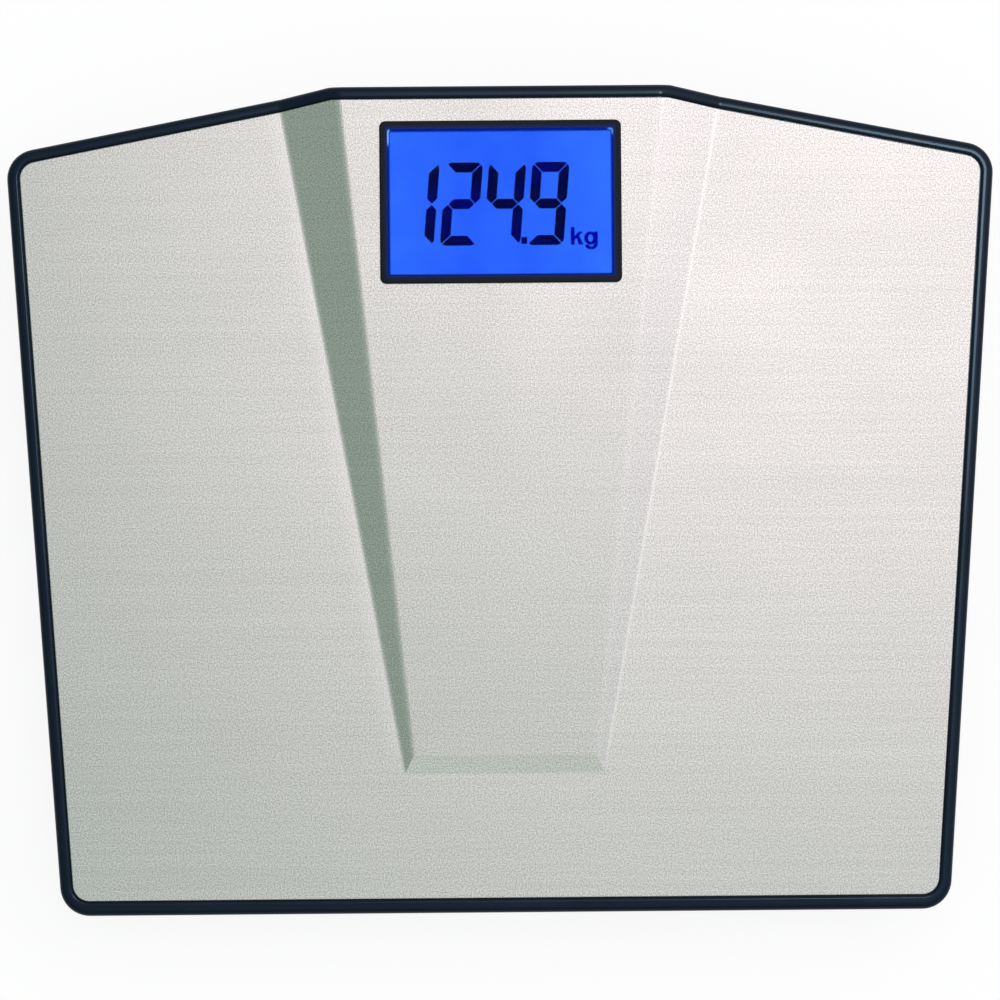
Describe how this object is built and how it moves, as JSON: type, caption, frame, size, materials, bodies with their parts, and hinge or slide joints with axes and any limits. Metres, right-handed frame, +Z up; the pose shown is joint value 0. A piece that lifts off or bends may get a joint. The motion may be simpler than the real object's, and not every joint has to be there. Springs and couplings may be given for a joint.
{
  "type": "digital bathroom scale",
  "caption": "Low trapezoid electronic bathroom scale: brushed steel platform with a raised panel, blue backlit display, black rim and base, pressing feet and a battery bay underneath.",
  "frame": {"origin": "on the floor, under the middle of the rim's outline", "axes": "+X to the right across the width, +Y towards the display edge, +Z up"},
  "size_m": [0.3974, 0.3316, 0.0448],
  "materials": {
    "plate_steel": "fine satin grain along the width",
    "tray_black": "satin blue-black moulding, fine texture",
    "base_black": "matt black moulding, spark texture",
    "bezel_black": "semi-gloss blue-black",
    "lens_clear": "clear, polished",
    "lcd_blue": "blue backlit panel",
    "guide_clear": "clear light guide",
    "led_white": "white package",
    "foam_black": "closed-cell foam",
    "adhesive_white": "double-sided sheet",
    "screw_zinc": "bright zinc",
    "frame_white": "white moulding",
    "strip_rubber": "layered elastomer",
    "board_green": "solder mask on glass laminate",
    "chip_black": "moulded package",
    "capacitor_can": "sleeved can",
    "connector_white": "natural nylon",
    "cell_steel": "stamped and plated",
    "gauge_white": "silicone coating",
    "bracket_black": "moulded",
    "foot_black": "matt black moulding",
    "pad_rubber": "soft dark grey rubber",
    "lead_grey": "round jacket",
    "lead_red": "round insulation",
    "lead_black": "round insulation",
    "battery_wrap": "plain grey sleeve with a dark band",
    "contact_nickel": "nickel plate",
    "switch_black": "moulded",
    "knob_grey": "light grey moulding"
  },
  "bodies": {
    "housing": {"platform_plate": "plate_steel", "plate_adhesive": "adhesive_white", "top_tray": "tray_black", "base_cover": "base_black", "base_screws": "screw_zinc", "display_bezel": "bezel_black", "display_lens": "lens_clear", "lens_gasket": "foam_black", "lcd_panel": "lcd_blue", "backlight_guide": "guide_clear", "backlight_leds": "led_white", "lcd_frame": "frame_white", "lcd_frame_screws": "screw_zinc", "zebra_strips": "strip_rubber", "main_board": "board_green", "board_screws": "screw_zinc", "controller_chip": "chip_black", "board_capacitors": "capacitor_can", "wire_connectors": "connector_white", "strain_gauges": "gauge_white", "cell_bracket_screws": "screw_zinc", "battery_springs": "contact_nickel", "battery_contacts": "contact_nickel", "unit_switch_body": "switch_black", "switch_lead": "lead_grey", "battery_lead_plus": "lead_red", "battery_lead_minus": "lead_black", "load_cell_front_left": "cell_steel", "cell_bracket_front_left": "bracket_black", "cell_lead_front_left": "lead_grey", "load_cell_front_right": "cell_steel", "cell_bracket_front_right": "bracket_black", "cell_lead_front_right": "lead_grey", "load_cell_back_left": "cell_steel", "cell_bracket_back_left": "bracket_black", "cell_lead_back_left": "lead_grey", "load_cell_back_right": "cell_steel", "cell_bracket_back_right": "bracket_black", "cell_lead_back_right": "lead_grey", "battery_1": "battery_wrap", "battery_2": "battery_wrap", "battery_3": "battery_wrap", "battery_4": "battery_wrap"},
    "battery_door": {"battery_door": "base_black"},
    "unit_switch": {"unit_switch_knob": "knob_grey"},
    "foot_front_left": {"foot_front_left": "foot_black", "foot_pad_front_left": "pad_rubber"},
    "foot_front_right": {"foot_front_right": "foot_black", "foot_pad_front_right": "pad_rubber"},
    "foot_back_left": {"foot_back_left": "foot_black", "foot_pad_back_left": "pad_rubber"},
    "foot_back_right": {"foot_back_right": "foot_black", "foot_pad_back_right": "pad_rubber"}
  },
  "joints": [
    {"name": "foot_press_front_left", "type": "slide", "parent": "housing", "child": "foot_front_left", "axis": [0, 0, 1], "range_m": [0, 0.0005], "stiffness_N_per_m": 3000, "springref_m": -0.003, "deforming": ["load_cell_front_left"]},
    {"name": "foot_press_front_right", "type": "slide", "parent": "housing", "child": "foot_front_right", "axis": [0, 0, 1], "range_m": [0, 0.0005], "stiffness_N_per_m": 3000, "springref_m": -0.003, "deforming": ["load_cell_front_right"]},
    {"name": "foot_press_back_left", "type": "slide", "parent": "housing", "child": "foot_back_left", "axis": [0, 0, 1], "range_m": [0, 0.0005], "stiffness_N_per_m": 3000, "springref_m": -0.003, "deforming": ["load_cell_back_left"]},
    {"name": "foot_press_back_right", "type": "slide", "parent": "housing", "child": "foot_back_right", "axis": [0, 0, 1], "range_m": [0, 0.0005], "stiffness_N_per_m": 3000, "springref_m": -0.003, "deforming": ["load_cell_back_right"]},
    {"name": "battery_door_hinge", "type": "hinge", "parent": "housing", "child": "battery_door", "pos_m": [0, -0.03285, 0.0096], "axis": [-1, 0, 0], "range_deg": [0, 80]},
    {"name": "unit_switch_slide", "type": "slide", "parent": "housing", "child": "unit_switch", "axis": [1, 0, 0], "range_m": [0, 0.003]}
  ]
}
